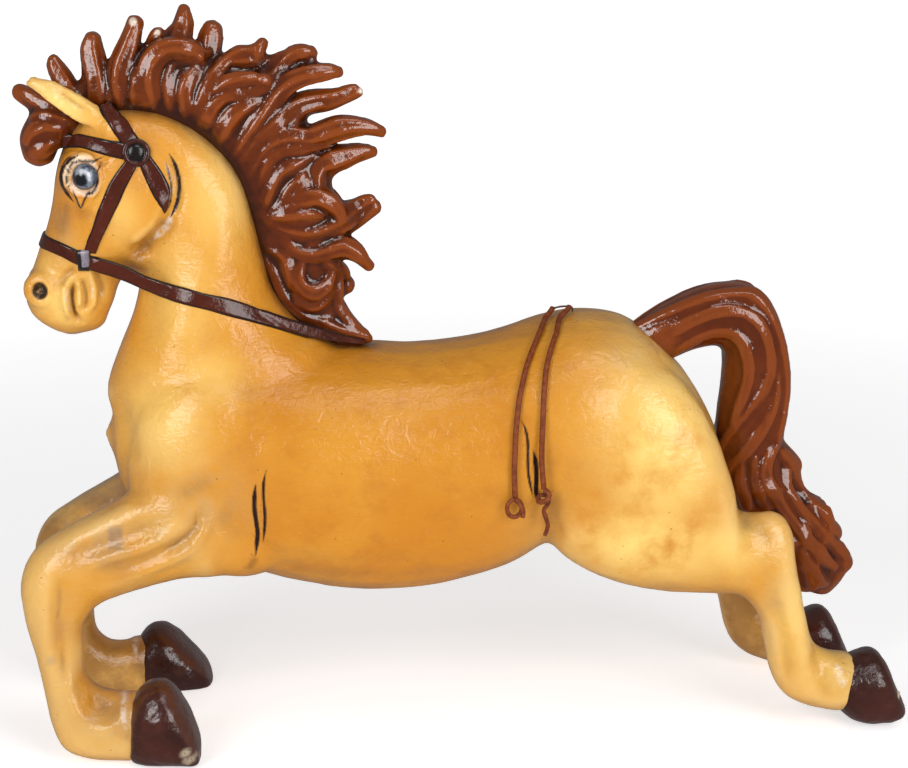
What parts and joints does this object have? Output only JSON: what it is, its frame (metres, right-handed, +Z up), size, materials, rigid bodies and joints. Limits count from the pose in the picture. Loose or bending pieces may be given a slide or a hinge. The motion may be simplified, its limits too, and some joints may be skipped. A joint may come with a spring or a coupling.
{
  "type": "horse sculpture",
  "caption": "Leaping papier-mache horse standing on its folded hooves, with a flame-like mane, arched tail, raised bridle and leather thongs hanging from a wire staple on its croup.",
  "frame": {"origin": "under the middle of the horse, on the surface that its feet rest on", "axes": "+Z up; the horse faces -X and its left side faces -Y"},
  "size_m": [1.0838, 0.3263, 0.8866],
  "materials": {
    "ochre_lacquer": "ochre-yellow paint under aged glossy lacquer, brushed, with grey and brown dirt in the hollows",
    "mane_lacquer": "red-brown paint under thick glossy lacquer, darker in the grooves",
    "hoof_lacquer": "dark maroon-brown gloss, chipped to the plaster at the toes",
    "strap_paint": "dark maroon gloss with black edge lines",
    "eye_paint": "grey-blue glossy eye with a black pupil",
    "brown_leather": "worn brown leather lace",
    "rusty_iron": "dull rusty wire"
  },
  "bodies": {
    "root": {"horse": "ochre_lacquer", "back_staple": "rusty_iron", "front_thong": "brown_leather", "front_thong_loop": "brown_leather", "rear_thong": "brown_leather", "rear_thong_knot": "brown_leather"}
  },
  "joints": []
}
